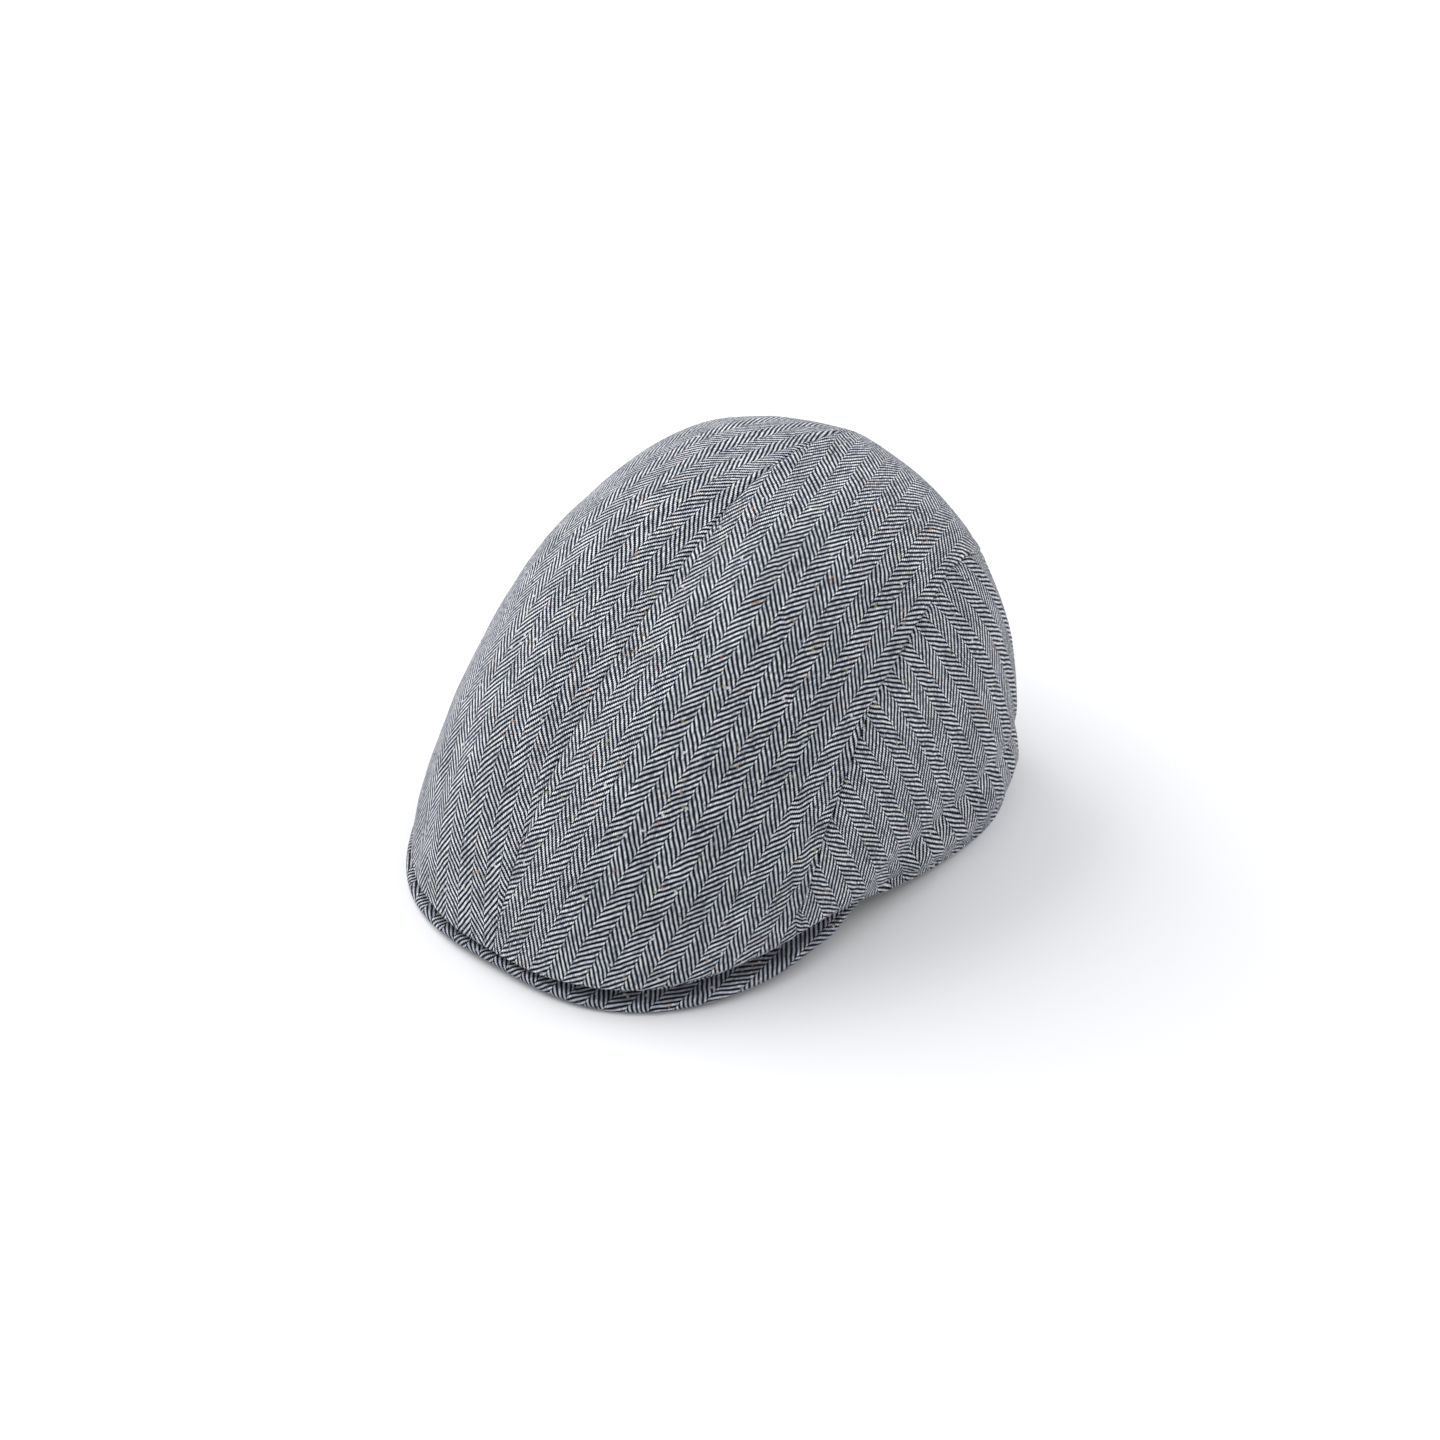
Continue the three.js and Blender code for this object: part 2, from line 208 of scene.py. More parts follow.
def yarn_shade(tree, w):
    """How high a yarn stands across its width, from 1 on its crown, and how much light it gets."""
    m = w["math"]
    across_long = m("ABSOLUTE", m("SUBTRACT", m("FRACT", w["u"]), 0.5))
    across_cross = m("ABSOLUTE", m("SUBTRACT", m("FRACT", w["v"]), 0.5))
    side = node(tree, "ShaderNodeMix", {0: w["pale"], 2: across_cross, 3: across_long}).outputs[0]
    crown = m("SUBTRACT", 1.0, m("MULTIPLY", m("MULTIPLY", side, side), ROUNDNESS))
    shade = m("MULTIPLY_ADD", crown, 1 - GAP_LIGHT, GAP_LIGHT)
    # A float is darkest at its two ends, in the shadow of the yarn that it dives under
    float_middle = m("MULTIPLY", m("MULTIPLY", w["along"], m("SUBTRACT", 1.0, w["along"])), END_RISE)
    dive = m("MULTIPLY_ADD", m("MAXIMUM", m("MINIMUM", float_middle, 1.0), 0.0), 1 - END_LIGHT, END_LIGHT)
    lit = node(tree, "ShaderNodeMix", {0: w["pale"], 2: 1.0, 3: dive}).outputs[0]
    return crown, m("MULTIPLY", shade, lit)


# %% Flecks of coloured wool in the yarn
FLECK_CELLS = 620.0     # cells in a metre, so each is about 1.6 mm wide
FLECK_FROM = 0.968      # about one cell in thirty holds a fleck
FLECKS = ((0.0, "#2A2D38"), (0.3, "#9A8A5C"), (0.5, "#E4E0D8"), (0.72, "#B07A52"), (0.88, "#7C8F9F"))


def wool_flecks(tree, w):
    """Where the flecks are, as a mix factor, and their colours."""
    m = w["math"]
    cells = node(tree, "ShaderNodeTexVoronoi", {"Vector": w["uv"], "Scale": FLECK_CELLS, "Randomness": 1.0},
                 voronoi_dimensions="2D")
    pick = node(tree, "ShaderNodeSeparateColor", {0: cells.outputs["Color"]})
    spot = m("LESS_THAN", cells.outputs["Distance"], 0.34)
    chosen = m("MULTIPLY", m("GREATER_THAN", pick.outputs[0], FLECK_FROM), spot)
    ramp = node(tree, "ShaderNodeValToRGB", {0: pick.outputs[1]})
    ramp.color_ramp.interpolation = "CONSTANT"
    set_stops(ramp, FLECKS)
    return m("MULTIPLY", chosen, 0.7), ramp.outputs[0]


# %% Tweed material
def tweed(name, pale_stops, dark_stops, sheen):
    """Woven wool: matt, with round yarns, uneven shade, coloured flecks and a soft sheen."""
    material, tree = new_material(name)
    w = weave(tree)
    m = w["math"]
    crown, shade = yarn_shade(tree, w)
    shaded = node(tree, "ShaderNodeMix", {"Factor": 1.0, 6: yarn_colours(tree, w, pale_stops, dark_stops), 7: shade},
                  data_type="RGBA", blend_type="MULTIPLY")
    share, fleck = wool_flecks(tree, w)
    flecked = node(tree, "ShaderNodeMix", {"Factor": share, 6: shaded.outputs[2], 7: fleck}, data_type="RGBA")
    # Patches a few centimetres wide where the cloth was dyed or pressed a little unevenly
    patches = node(tree, "ShaderNodeTexNoise", {"Vector": w["uv"], "Scale": 60.0, "Detail": 5.0, "Roughness": 0.65})
    tone_and_lip_shade = m("MULTIPLY_ADD", patches.outputs["Fac"], 0.9, 0.53)
    # Painted shade: under the lip the peak hardly sees the light, so a point attribute that is 1 there takes up to
    # 0.4 off its colour's brightness
    painted_lip_shade = node(tree, "ShaderNodeAttribute", attribute_name="PaintedLipShade").outputs["Fac"]
    tone_and_lip_shade = m("MULTIPLY", tone_and_lip_shade, m("MULTIPLY_ADD", painted_lip_shade, -0.4, 1.0))
    final = node(tree, "ShaderNodeMix", {"Factor": 1.0, 6: flecked.outputs[2], 7: tone_and_lip_shade},
                 data_type="RGBA", blend_type="MULTIPLY")
    # Bump: yarn crowns first, then the finer tangle of the fibres
    hair = node(tree, "ShaderNodeTexNoise", {"Vector": w["uv"], "Scale": 5200.0, "Detail": 2.0})
    height = m("MULTIPLY_ADD", hair.outputs["Fac"], 0.5, crown)
    bump = node(tree, "ShaderNodeBump", {"Strength": 0.55, "Distance": 0.00016, "Height": height})
    shader = node(tree, "ShaderNodeBsdfPrincipled", {
        "Base Color": final.outputs[2], "Roughness": m("MULTIPLY_ADD", hair.outputs["Fac"], 0.12, 0.84),
        "Normal": bump.outputs[0], "Sheen Weight": sheen, "Sheen Roughness": 0.45,
        "Sheen Tint": linear("#E9EDF6"), "Specular IOR Level": 0.15})
    node(tree, "ShaderNodeOutputMaterial", {0: shader.outputs[0]})
    return material


# %% The crown's cloth and the peak's: the peak's is a little bluer, and darker and duller as painted shade for the crown's shadow over it
CROWN_PALE = ((0.36, "#A9AEBC"), (0.50, "#DFE2EB"), (0.62, "#FAFCFE"))
CROWN_DARK = ((0.42, "#020306"), (0.57, "#06080E"), (0.70, "#262A36"))
PEAK_PALE_SHADED = ((0.34, "#A9ADBB"), (0.52, "#CDD1DD"), (0.68, "#EEF0F6"))
PEAK_DARK_SHADED = ((0.34, "#030409"), (0.55, "#080A12"), (0.72, "#1B1F2B"))
crown_tweed = tweed("wool_tweed_crown", CROWN_PALE, CROWN_DARK, 0.07)
shaded_peak_tweed = tweed("wool_tweed_peak_shaded", PEAK_PALE_SHADED, PEAK_DARK_SHADED, 0.06)
print("materials:", crown_tweed.name, shaded_peak_tweed.name)

# %% [markdown]
# ## The crown's form
# The solids were drawn from a few sections round the crown. Each section says where the crown is fullest,
# how far its edge tucks in, and how its profile curves. The same sums are repeated here with arrays, so the
# cloth can be made fine enough for seams and puckers and still lie exactly on the solid it stands for.
# "turn" is the angle from the front, and "down" is 0 at the top, 1 at the fullest line and 2 at the edge.

# %% Sizes and sections, in millimetres and degrees
CROWN_WIDTH, CROWN_FRONT, CROWN_BACK, CROWN_HEIGHT = 188, 154, 82, 140
FULL_HEIGHT, HEM_TUCK, CLOTH, HEM_CLOTH, SEAM_GAP = 40, 6, 1.6, 2.8, 0.3
PEAK_DEPTH, PEAK_THICKNESS, PEAK_OVERHANG, PEAK_RISE, PEAK_BOW = 36, 4, 3.2, 12, 10
SEAM_TURN, PEAK_TURN = 46, 60
FRONT_CORNER, BACK_CORNER = 2.62, 2.95
CREASE_HEIGHT, CREASE_DEPTH, CREASE_WIDTH = 28, 1.2, 5
DIMPLE_TURN, DIMPLE_DOWN, DIMPLE_DEPTH, DIMPLE_WIDTH = 72, 1.47, 2.5, 8
FOLD_TURN, FOLD_SLANT, FOLD_DOWN, FOLD_DEPTH, FOLD_WIDTH, FOLD_LENGTH = 20, 5, 0.87, 1.5, 9, 0.13

SECTION_TURNS = (0, 20, 35, 62, 90, 135, 180)
SECTIONS = {
    "full": (0.225, 0.28, 0.37, 0.54, 0.38, 0.44, 1),
    "tuck": (0.5, 0.65, 0.83, 0.57, 0.53, 0.6, 1),
    "crown": (0.14, 0.2, 0.33, 0.57, 0.7, 0.58, 0.48),
    "wall": (0.66, 0.68, 0.72, 0.7, 0.71, 0.86, 1.06),
    "lean": (76, 78, 80, 88, 89, 90, 90),
}
PEAK_TURNS = (0, 22, 40, 52, 60)
PEAK_SECTIONS = {
    "bow": (0.2, 0, 0.33, 0.85, 1),
    "over": (0.25, 0.72, 1, 0.4, 0),
    "depth": (1, 0.9, 0.57, 0.25, 0.13),
    "rise": (1, 1, 0.85, 0.45, 0.15),
    "thick": (1, 1, 1, 0.9, 0.65),
}
SEAM = ((46, 49, 51, 57, 62, 67, 75, 90, 109, 120, 133, 150, 180),
        (0.965, 0.92, 0.88, 0.78, 0.71, 0.655, 0.605, 0.535, 0.505, 0.535, 0.63, 0.72, 0.77))
RIM = ((60, 70, 90, 115, 180), (1, 0.66, 0.2, 0, 0))
CREASE = {"height": (0.72, 0.88, 1, 1.15, 1.1), "depth": (0, 1, 1, 0.8, 0.7)}
CREASE_TURNS = (60, 72, 90, 111, 180)


# %% Read a table at any turn
def smooth_curve(turns, values):
    """A smooth curve through a table's values that stays level at its ends and at each peak."""
    t, y = np.array(turns, float), np.array(values, float)
    rise = np.diff(y) / np.diff(t)
    slope = np.zeros(len(y))
    before, after = rise[:-1], rise[1:]
    same = before * after > 0
    slope[1:-1][same] = 2 * before[same] * after[same] / (before[same] + after[same])

    def read(turn):
        x = np.clip(np.abs(turn), t[0], t[-1])
        i = np.clip(np.searchsorted(t, x, side="right") - 1, 0, len(t) - 2)
        span = t[i + 1] - t[i]
        s = (x - t[i]) / span
        start = y[i] * (1 + 2 * s) * (1 - s) ** 2 + slope[i] * span * s * (1 - s) ** 2
        return start + y[i + 1] * s * s * (3 - 2 * s) - slope[i + 1] * span * s * s * (1 - s)
    return read


section = {name: smooth_curve(SECTION_TURNS, values) for name, values in SECTIONS.items()}
peak_at = {name: smooth_curve(PEAK_TURNS, values) for name, values in PEAK_SECTIONS.items()}
crease_at = {name: smooth_curve(CREASE_TURNS, values) for name, values in CREASE.items()}
seam_down = smooth_curve(*SEAM)
rim_share = smooth_curve(*RIM)
print("the curved seam is highest at", round(float(seam_down(109)), 3), "of the way down to the fullest line")


# %% Plan and peak
def plan_radius(turn):
    c, s = np.cos(np.radians(turn)), np.sin(np.radians(turn))
    power = np.where(c > 0, FRONT_CORNER, BACK_CORNER)
    length = np.where(c > 0, CROWN_FRONT, CROWN_BACK)
    return (np.abs(c / length) ** power + np.abs(s / (CROWN_WIDTH / 2)) ** power) ** (-1 / power)


def peak_outer(turn):
    return plan_radius(turn) + PEAK_OVERHANG * peak_at["over"](turn)


def peak_inner(turn):
    return plan_radius(turn) - PEAK_DEPTH * peak_at["depth"](turn)


def peak_thickness(turn):
    return PEAK_THICKNESS * peak_at["thick"](turn)


def peak_top(turn, radius):
    """Height of the peak's upper face, which climbs from its round edge to its sewn-in edge."""
    edge = peak_outer(turn) - peak_thickness(turn) / 2
    u = (edge - radius) / (edge - peak_inner(turn))
    low = peak_thickness(turn) + PEAK_BOW * peak_at["bow"](turn)
    return low + PEAK_RISE * peak_at["rise"](turn) * (0.6 * u + 0.4 * u * np.abs(u))


print("widest place of the crown:", round(2 * float(plan_radius(90)), 1), "mm")


# %% Rim and profile
def rim_radius(turn):
    return plan_radius(turn) - HEM_TUCK * section["tuck"](turn)


def seat_height(turn):
    return peak_top(turn, rim_radius(turn)) + SEAM_GAP * 1.3


def rim_height(turn):
    return np.where(np.abs(turn) <= PEAK_TURN, seat_height(turn), seat_height(PEAK_TURN) * rim_share(turn))


def bezier(a, b, c, d, t):
    return a * (1 - t) ** 3 + 3 * b * (1 - t) ** 2 * t + 3 * c * (1 - t) * t * t + d * t ** 3


def profile(turn, down):
    """Radius and height of the crown's outer face without its dents."""
    radius, full = plan_radius(turn), FULL_HEIGHT * section["full"](turn)
    reach, lean = (CROWN_HEIGHT - full) * section["wall"](turn), np.radians(section["lean"](turn))
    above = np.minimum(down, 1)
    r = bezier(0, radius * section["crown"](turn), radius - reach * np.cos(lean), radius, above)
    z = bezier(CROWN_HEIGHT, CROWN_HEIGHT, full + reach * np.sin(lean), full, above)
    rim, low, below = rim_radius(turn), rim_height(turn), np.maximum(down, 1) - 1
    r2 = bezier(radius, radius, rim, rim, below)
    z2 = bezier(full, (full + low) / 2, (full + low) / 2, low, below)
    return np.where(down <= 1, r, r2), np.where(down <= 1, z, z2)


print("height of the lip over the floor in front:", round(float(rim_height(0)), 1), "mm")


# %% Points on the crown
def polar(turn, r, z):
    a = np.radians(turn)
    return np.stack(np.broadcast_arrays(r * np.sin(a), -r * np.cos(a), z), axis=-1)


def form(turn, down):
    return polar(turn, *profile(turn, down))


def unit(vectors):
    return vectors / np.maximum(np.linalg.norm(vectors, axis=-1, keepdims=True), 1e-9)


def outward(turn, down):
    """The way out of the crown, from the places just beside and just above and below."""
    d = np.clip(down, 0.02, 1.98)
    along = form(turn + 0.5, d) - form(turn - 0.5, d)
    across = form(turn, d + 0.01) - form(turn, d - 0.01)
    return np.where((down < 0.02)[..., None], np.array([0, 0, 1.0]), unit(np.cross(across, along)))


# %% Dents and soft folds
def hill(distance):
    return np.exp(-distance * distance)


def dent(turn, down, point):
    """How far the crease round the lower side, the dimple and the fold in front press the cloth in."""
    above = (point[..., 2] - CREASE_HEIGHT * crease_at["height"](turn)) / CREASE_WIDTH
    crease = CREASE_DEPTH * crease_at["depth"](turn) * hill(above)
    dimple_at = form(DIMPLE_TURN, DIMPLE_DOWN)
    dimple = DIMPLE_DEPTH * hill(np.linalg.norm(point - dimple_at, axis=-1) / DIMPLE_WIDTH)
    fold_line = np.radians(turn + FOLD_TURN + FOLD_SLANT * (down - 0.7)) * plan_radius(turn)
    fold = FOLD_DEPTH * hill(fold_line / FOLD_WIDTH) * hill((down - FOLD_DOWN) / FOLD_LENGTH)
    return np.where(down < 0.6, 0, (crease + dimple + fold) * np.minimum(1, (2 - down) / 0.2))


def outside(turn, down):
    point = form(turn, down)
    return point - outward(turn, down) * dent(turn, down, point)[..., None]


# %% The inner face
SEWN_SHARE = 0.7        # how much of its thickness the cloth keeps where it is pressed on to the peak


def inside(turn, down, outer):
    """The inner face, one cloth thickness in, which thickens to a doubled hem away from the peak."""
    flat = outer - outward(turn, down) * CLOTH
    free = np.clip((np.abs(turn) - SEAM_TURN) / (PEAK_TURN - SEAM_TURN), 0, 1)
    across = CLOTH * SEWN_SHARE + (HEM_CLOTH - CLOTH * SEWN_SHARE) * free
    rim = rim_radius(turn)
    slope = np.where(np.abs(turn) <= PEAK_TURN, peak_top(turn, rim - across) - peak_top(turn, rim), 0)
    end = polar(turn, -across, np.maximum(slope, CLOTH * (1 - free)))
    share = (np.maximum(down, 1) - 1)[..., None]
    hem = outer + outward(turn, np.ones_like(down)) * -CLOTH * (1 - share) + end * share
    return np.where((down <= 1)[..., None], flat, hem)


# %% Where the crown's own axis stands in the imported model
peak_turns = np.concatenate([np.linspace(0, SEAM_TURN, 10), np.linspace(SEAM_TURN, PEAK_TURN, 4)])
peak_reach = np.max(peak_outer(peak_turns) * np.cos(np.radians(peak_turns)))
edge_middle = peak_outer(peak_turns) - peak_thickness(peak_turns) / 2
peak_low = np.min(peak_top(peak_turns, edge_middle) - peak_thickness(peak_turns))
AXIS = np.array([0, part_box("peak")[0].y * 1000 + peak_reach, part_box("peak")[0].z * 1000 - peak_low])
print("crown's axis stands at", AXIS.round(3), "mm")

# %% [markdown]
# ## A panel as a grid
# A cut piece of cloth is easiest as a grid: columns run round the cap and rows run down it. The outer face
# and the inner face use the same grid, one cloth thickness apart, and strips close the cut edges. Every
# vertex keeps its column and row, so the flat pattern can be laid over it afterwards.

# %% Soft noise that is the same in each run
def soft_noise(points, size, seed):
    """Smooth noise of about -1 to 1 with bumps about size millimetres wide: eight slanted waves added up."""
    rng = np.random.default_rng(seed)
    ways = unit(rng.normal(size=(8, 3)))
    pace = 2 * math.pi / size * rng.uniform(0.6, 1.3, 8)
    start = rng.uniform(0, 2 * math.pi, 8)
    return np.sin(points @ ways.T * pace + start).sum(-1) / 4


# %% Lay out the rows and columns of one panel
FRONT, CORNER, BEHIND = 66, 15, 138                 # cells round the cap, each a multiple of 3
ROWS, SIDE_ROWS, HEM_ROWS = 105, 60, 24             # cells down it: top panel, side panel, below the fullest line
SEAM_DOWN_GAP = 0.0008                              # half the gap of the curved seam, as a share of the way down


def panel_grid(kind, coarse):
    """Turns of a panel's columns and the downs of its two blocks of rows: above the fullest line and below."""
    gap = SEAM_GAP / 2 / float(plan_radius(SEAM_TURN)) * 180 / math.pi
    corner = np.linspace(SEAM_TURN, PEAK_TURN, CORNER // coarse + 1)[1:]
    behind = np.linspace(PEAK_TURN, 180, BEHIND // coarse + 1)[1:]
    start = np.array([SEAM_TURN + gap])
    if kind == "top":
        start = np.linspace(0, SEAM_TURN - gap, FRONT // coarse + 1)
    turns = np.concatenate([start, corner, behind])
    seam = seam_down(turns)[:, None]
    if kind == "top":
        upper = np.linspace(0, 1, ROWS // coarse + 1)[None, :] * (seam - SEAM_DOWN_GAP)
    else:
        share = np.linspace(0, 1, SIDE_ROWS // coarse + 1)[None, :]
        upper = seam + SEAM_DOWN_GAP + share * (1 - seam - SEAM_DOWN_GAP)
    lower = np.broadcast_to(np.linspace(1, 2, HEM_ROWS // coarse + 1), (len(turns), HEM_ROWS // coarse + 1))
    return turns, upper, lower


def panel_faces(kind, columns, upper_rows, lower_rows, front_columns):
    """Vertex numbers of a panel's quads. A top panel reaches below the fullest line only in front."""
    rows = upper_rows + lower_rows
    number = np.arange(columns * rows).reshape(columns, rows)
    if kind == "top":
        number[:, 0] = 0                            # all columns meet in one vertex at the top
    else:
        number[:, upper_rows] = number[:, upper_rows - 1]
    faces = []
    for j in range(rows - 1):
        if kind == "side" and j == upper_rows - 1:
            continue                                # the two blocks share this row
        in_front = kind == "top" and j >= upper_rows - 1
        for i in range((front_columns if in_front else columns) - 1):
            quad = [number[i, j], number[i, j + 1], number[i + 1, j + 1], number[i + 1, j]]
            faces.append([int(v) for k, v in enumerate(quad) if v != quad[k - 1]])
    return faces


# %% [markdown]
# ## Flat patterns
# Woven cloth keeps its lines straight only while it lies flat. A tailor lays the paper pattern on the cloth
# and cuts, so the lines run true on every piece and meet at an angle where curved edges are sewn together.
# Unwrapping with the least stretch gives just that paper pattern. It is done on a coarse copy of the panel,
# turned so that the weave runs the way it does on the cap, and then read back for every fine vertex.

# %% Flatten a coarse panel
def flatten(points, faces):
    """UVs of a coarse mesh laid flat with the least stretch, in millimetres."""
    mesh = bpy.data.meshes.new("pattern")
    mesh.from_pydata([tuple(p / 1000) for p in points], [], faces)
    paper = bpy.data.objects.new("pattern", mesh)
    bpy.context.scene.collection.objects.link(paper)
    bpy.ops.object.select_all(action="DESELECT")
    paper.select_set(True)
    bpy.context.view_layer.objects.active = paper
    mesh.uv_layers.new(name="flat")
    bpy.ops.object.mode_set(mode="EDIT")
    bpy.ops.mesh.select_all(action="SELECT")
    bpy.ops.uv.unwrap(method="MINIMUM_STRETCH", margin=0, iterations=60)
    bpy.ops.object.mode_set(mode="OBJECT")
    loops = np.zeros(len(mesh.loops), int)
    flat = np.zeros(len(mesh.loops) * 2)
    mesh.loops.foreach_get("vertex_index", loops)
    mesh.uv_layers["flat"].data.foreach_get("uv", flat)
    uv = np.zeros((len(points), 2))
    uv[loops] = flat.reshape(-1, 2)
    bpy.data.objects.remove(paper)
    bpy.data.meshes.remove(mesh)
    return uv * true_size(points, uv, faces)


def true_size(points, uv, faces):
    """How much larger the flat pattern has to be to have the panel's own area."""
    corners = np.array([f[:3] for f in faces])
    a, b, c = (points[corners[:, k]] for k in range(3))
    real = np.linalg.norm(np.cross(b - a, c - a), axis=-1).sum()
    a, b, c = (uv[corners[:, k]] for k in range(3))
    paper_area = np.abs((b - a)[:, 0] * (c - a)[:, 1] - (b - a)[:, 1] * (c - a)[:, 0]).sum()
    return math.sqrt(real / paper_area)


# %% Turn the pattern so that the weave runs along V
SIDE_MIDDLE, SIDE_ROW = 84, 8                       # the turn and the row of a place in the middle of a side panel
SIDE_WAY = np.array([0, -8.0, 23.7])                # which way its columns run there, in millimetres


def turned_to_weave(kind, uv, points, turns, upper_rows):
    """The pattern turned, mirrored and moved so that V runs along the weave and U grows from the seam."""
    if kind == "top":
        low, high = uv[0, int(0.78 * upper_rows)], uv[0, int(0.3 * upper_rows)]
    else:
        middle = np.argmin(np.abs(turns - SIDE_MIDDLE))
        goal = points[middle, SIDE_ROW] + SIDE_WAY
        low = uv[middle, SIDE_ROW]
        high = uv.reshape(-1, 2)[np.linalg.norm(points - goal, axis=-1).argmin()]
    way = (high - low) / np.linalg.norm(high - low)
    turned = np.stack([uv @ np.array([way[1], -way[0]]), uv @ way], axis=-1)
    if kind == "top":
        turned[..., 0] *= 1 if turned[10, 15, 0] > turned[0, 15, 0] else -1
        return turned - turned[0, int(0.55 * upper_rows)]
    turned[..., 0] *= 1 if turned[-1, 5, 0] > turned[0, 5, 0] else -1
    return turned - turned[len(turns) // 3, SIDE_ROW]


# %% Read the coarse pattern back for the fine grid
def refine(values, axis):
    """Three times as many steps along an axis, on smooth curves through the coarse values."""
    v = np.moveaxis(values, axis, 0)
    v = np.concatenate([2 * v[:1] - v[1:2], v, 2 * v[-1:] - v[-2:-1]])
    parts = []
    for t in (0, 1 / 3, 2 / 3):
        a, b, c, d = v[:-3], v[1:-2], v[2:-1], v[3:]
        parts.append(b + 0.5 * t * (c - a + t * (2 * a - 5 * b + 4 * c - d + t * (3 * (b - c) + d - a))))
    fine = np.stack(parts, 1).reshape(-1, *v.shape[1:])
    return np.moveaxis(np.concatenate([fine, v[-2:-1]]), 0, axis)


def pattern(kind):
    """The flat pattern of a panel on the +X side, as UVs in metres on its fine grid, weave along V."""
    turns, upper, lower = panel_grid(kind, 3)
    downs = np.concatenate([upper, lower], axis=1)
    split, first = upper.shape[1], FRONT // 3
    points = form(turns[:, None], downs).reshape(-1, 3)
    faces = panel_faces(kind, len(turns), split, lower.shape[1], first + 1)
    used = np.unique(np.concatenate([np.array(f) for f in faces]))
    where = np.full(len(points), 0)
    where[used] = np.arange(len(used))
    uv = np.zeros((len(points), 2))
    uv[used] = flatten(points[used], [[int(where[v]) for v in f] for f in faces])
    uv = uv.reshape(*downs.shape, 2)
    if kind == "top":                               # fill in the grid's places that no face uses
        uv[:, 0] = uv[0, 0]
        uv[first + 1:, split:] = uv[first:first + 1, split:]
    else:
        uv[:, split] = uv[:, split - 1]
    turned = turned_to_weave(kind, uv, points.reshape(*downs.shape, 3), turns, split)
    blocks = [refine(refine(block, 0), 1) for block in (turned[:, :split], turned[:, split:])]
    return np.concatenate(blocks, axis=1) / 1000


# %% [markdown]
# ## Seams that look sewn
# A seam shows as a fine valley. On the long curved seams both raw edges are pressed up under the top panel,
# so its edge stands a little proud of the side panel and throws a thin shadow. Sewing also draws the cloth
# in a little, which leaves small ripples along the seam. All of it is less than a millimetre high.

# %% Height of a pressed seam
SEAM_LOOKS = {          # rise of the pressed band, where it starts and ends to fall, the valley's depth and width
    "centre": (0.15, 2.5, 5.0, 0.5, 0.6),
    "top": (0.45, 3.0, 6.0, 0.9, 0.7),
    "side": (0.05, 2.0, 5.0, 0.65, 0.9),
}


def ease(low, high, x):
    t = np.clip((x - low) / (high - low), 0, 1)
    return t * t * (3 - 2 * t)


def pressed_seam(look, distance, valley_share=1):
    rise, band, band_end, valley, width = SEAM_LOOKS[look]
    return rise * (1 - ease(band, band_end, distance)) - valley * hill(distance / width) * valley_share


def seam_relief(kind, turn, down, points, upper_end):
    """How far the seams and their ripples move each point of the outer face outwards, in millimetres."""
    middle = np.maximum(np.abs(points[..., 0]) - SEAM_GAP / 2, 0)
    pace = np.linalg.norm(form(turn, upper_end + 0.005) - form(turn, upper_end - 0.005), axis=-1) / 0.01
    along = np.abs(upper_end - down) * pace
    beside = np.abs(turn - SEAM_TURN) * math.pi / 180 * plan_radius(turn)
    flatter = 1 - 0.6 * ease(0.85, 1.0, down)       # near the lip the curved seam lies flatter
    ripple = soft_noise(points, 7.5, 3) * 0.24 + soft_noise(points, 4.0, 5) * 0.08
    centre = pressed_seam("centre", middle) + ripple * (1 - ease(1, 9, middle))
    if kind == "top":
        corner = np.hypot(np.where(down > upper_end, 0, along), beside)
        curved = np.where(turn >= SEAM_TURN - 0.2, along, corner)
        curve = pressed_seam("top", curved) * flatter
    else:
        curved = np.minimum(along, beside)
        curve = pressed_seam("side", curved, flatter)
        centre = np.where(turn > 150, centre, 0)
    return centre + curve + ripple * 1.2 * (1 - ease(1, 10, curved))


# %% Soft waves and folds
SAG_HEIGHT, SAG_DEPTH, SAG_WIDTH = 27, 1.5, 4.2     # the crease of the sagging lower side, in millimetres
BULGE_HEIGHT, BULGE_RISE, BULGE_WIDTH = 15, 0.7, 6  # the bulge below that crease


def soft_waves(turn, down, points):
    """Slow waves all over, and the sag of the lower side: a crease, a bulge below it and small crumples."""
    waves = soft_noise(points, 34, 11) * 0.45 + soft_noise(points, 16, 12) * 0.12
    height = form(turn, down)[..., 2] + 2.5 * soft_noise(points, 30, 14)
    crease = hill((height - SAG_HEIGHT * crease_at["height"](turn)) / SAG_WIDTH)
    crease = crease * ease(58, 70, turn) * ease(0.7, 0.85, down)
    bulge = hill((height - BULGE_HEIGHT * crease_at["height"](turn)) / BULGE_WIDTH)
    bulge = bulge * ease(62, 76, turn) * ease(0.7, 0.9, down)
    crumple = soft_noise(points * np.array([1, 1, 0.45]), 9, 15) * (crease + bulge) * 0.45
    return waves + BULGE_RISE * bulge - SAG_DEPTH * crease + crumple


def undercut(turn, down):
    """How far the lip's underside is pulled in over the peak, in millimetres, which makes its dark line."""
    return 1.3 * ease(1.15, 1.6, down) * (1 - ease(48, 58, turn))


# %% Close a panel into cloth
def closed_cloth(outer, inner, faces, uv):
    """One closed mesh from two faces of one net. The cut edges get the cloth's pattern carried round them."""
    flat = np.concatenate([np.array(f) for f in faces])
    after = np.concatenate([np.roll(np.array(f), -1) for f in faces])
    edges = {(int(a), int(b)) for a, b in zip(flat, after)}
    open_edges = [(a, b) for a, b in edges if (b, a) not in edges]
    count = len(outer)
    strips = [(a, a + count, b + count, b) for a, b in open_edges]
    all_faces = [tuple(f) for f in faces] + [tuple(v + count for v in reversed(f)) for f in faces] + strips
    return np.concatenate([outer, inner]), all_faces, np.concatenate([uv, uv + np.array([0.0, CLOTH / 1000])])


